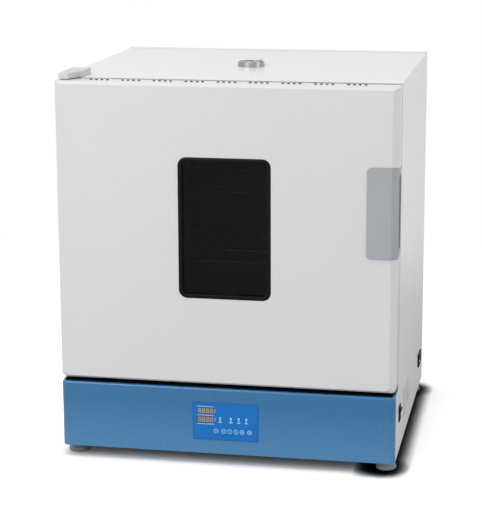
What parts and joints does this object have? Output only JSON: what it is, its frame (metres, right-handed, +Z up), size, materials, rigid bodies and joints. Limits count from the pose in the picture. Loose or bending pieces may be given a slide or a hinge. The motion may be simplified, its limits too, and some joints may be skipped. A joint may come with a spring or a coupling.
{
  "type": "forced-air drying oven",
  "caption": "Bench forced-air drying oven with a side-hinged glazed door, keypad base, wire shelves and a turning roof vent.",
  "frame": {"origin": "on the surface it stands on, under the middle of the cabinet", "axes": "+Z up, -Y towards the person who stands at the door, +X to that person's right"},
  "size_m": [0.646, 0.578, 0.7414],
  "materials": {
    "cabinet_paint": "smooth semi-gloss powder coat",
    "door_paint": "smooth semi-gloss powder coat",
    "base_blue_paint": "smooth semi-gloss powder coat",
    "galvanised_sheet": "dull zinc",
    "stainless_sheet": "fine brushed",
    "bright_steel": "bright plated",
    "fan_aluminium": "plain mill finish",
    "heater_sheath": "heat-darkened",
    "mineral_wool": "fibrous",
    "black_rubber": "matt",
    "silicone_grey": "matt",
    "window_glass": "clear",
    "handle_plastic": "fine satin",
    "pale_plastic": "fine satin",
    "black_plastic": "fine satin",
    "keypad_film": "glossy film",
    "key_plastic": "glossy",
    "display_window": "dark glossy",
    "circuit_board": "satin",
    "nylon_white": "satin",
    "motor_steel": "dull lacquer",
    "magnet_ferrite": "dull",
    "relay_plastic": "satin"
  },
  "bodies": {
    "cabinet": {"outer_shell": "cabinet_paint", "base_pan": "galvanised_sheet", "insulation_tray": "galvanised_sheet", "rear_partition": "galvanised_sheet", "front_frame": "stainless_sheet", "inner_chamber": "stainless_sheet", "insulation": "mineral_wool", "base_front_panel": "base_blue_paint", "back_cover": "cabinet_paint", "rear_air_baffle": "stainless_sheet", "motor_bracket": "galvanised_sheet", "fan_motor": "motor_steel", "heater_element": "heater_sheath", "temperature_sensor": "bright_steel", "shelf_guide_left": "stainless_sheet", "shelf_guide_right": "stainless_sheet", "vent_duct": "galvanised_sheet", "vent_collar": "bright_steel", "door_magnets": "magnet_ferrite", "hinge_pins": "bright_steel", "top_hinge_plate": "galvanised_sheet", "top_hinge_cover": "pale_plastic", "bottom_hinge_plate": "galvanised_sheet", "keypad_overlay": "keypad_film", "led_displays": "display_window", "control_board": "circuit_board", "power_switch_frame": "black_plastic", "service_hatch": "pale_plastic", "side_hole_cap": "pale_plastic", "power_inlet": "black_plastic", "solid_state_relay": "relay_plastic", "rubber_feet": "black_rubber"},
    "door": {"door_outer_skin": "door_paint", "door_inner_liner": "stainless_sheet", "door_insulation": "mineral_wool", "door_handle": "handle_plastic", "door_seal": "silicone_grey", "window_gasket": "black_rubber", "window_outer_glass": "window_glass", "window_inner_glass": "window_glass", "window_inner_frame": "stainless_sheet", "magnet_strikes": "galvanised_sheet", "hinge_bushes": "nylon_white"},
    "fan": {"fan_wheel": "fan_aluminium", "fan_shaft": "bright_steel"},
    "vent_damper_body": {"vent_damper": "bright_steel"},
    "power_switch_rocker_body": {"power_switch_rocker": "black_plastic"},
    "shelf_lower_body": {"shelf_lower": "bright_steel"},
    "shelf_upper_body": {"shelf_upper": "bright_steel"},
    "key_set_body": {"key_set": "key_plastic"},
    "key_shift_body": {"key_shift": "key_plastic"},
    "key_down_body": {"key_down": "key_plastic"},
    "key_up_body": {"key_up": "key_plastic"},
    "key_timer_body": {"key_timer": "key_plastic"},
    "key_run_body": {"key_run": "key_plastic"}
  },
  "joints": [
    {"name": "door_hinge", "type": "hinge", "parent": "cabinet", "child": "door", "pos_m": [-0.306, -0.253, 0.441], "axis": [0, 0, -1], "range_deg": [0, 105]},
    {"name": "fan_spin", "type": "hinge", "parent": "cabinet", "child": "fan", "pos_m": [0, 0.148, 0.44], "axis": [0, 1, 0], "continuous": true},
    {"name": "vent_damper_turn", "type": "hinge", "parent": "cabinet", "child": "vent_damper_body", "pos_m": [0, -0.01, 0.731], "axis": [0, 0, 1], "range_deg": [0, 60]},
    {"name": "power_switch_rock", "type": "hinge", "parent": "cabinet", "child": "power_switch_rocker_body", "pos_m": [0.316, -0.208, 0.098], "axis": [0, -1, 0], "range_deg": [0, 16]},
    {"name": "shelf_lower_slide", "type": "slide", "parent": "cabinet", "child": "shelf_lower_body", "axis": [0, -1, 0], "range_m": [0, 0.01]},
    {"name": "shelf_upper_slide", "type": "slide", "parent": "cabinet", "child": "shelf_upper_body", "axis": [0, -1, 0], "range_m": [0, 0.01]},
    {"name": "key_set_press", "type": "slide", "parent": "cabinet", "child": "key_set_body", "axis": [0, 1, 0], "range_m": [0, 0.0004], "stiffness_N_per_m": 1500},
    {"name": "key_shift_press", "type": "slide", "parent": "cabinet", "child": "key_shift_body", "axis": [0, 1, 0], "range_m": [0, 0.0004], "stiffness_N_per_m": 1500},
    {"name": "key_down_press", "type": "slide", "parent": "cabinet", "child": "key_down_body", "axis": [0, 1, 0], "range_m": [0, 0.0004], "stiffness_N_per_m": 1500},
    {"name": "key_up_press", "type": "slide", "parent": "cabinet", "child": "key_up_body", "axis": [0, 1, 0], "range_m": [0, 0.0004], "stiffness_N_per_m": 1500},
    {"name": "key_timer_press", "type": "slide", "parent": "cabinet", "child": "key_timer_body", "axis": [0, 1, 0], "range_m": [0, 0.0004], "stiffness_N_per_m": 1500},
    {"name": "key_run_press", "type": "slide", "parent": "cabinet", "child": "key_run_body", "axis": [0, 1, 0], "range_m": [0, 0.0004], "stiffness_N_per_m": 1500}
  ]
}
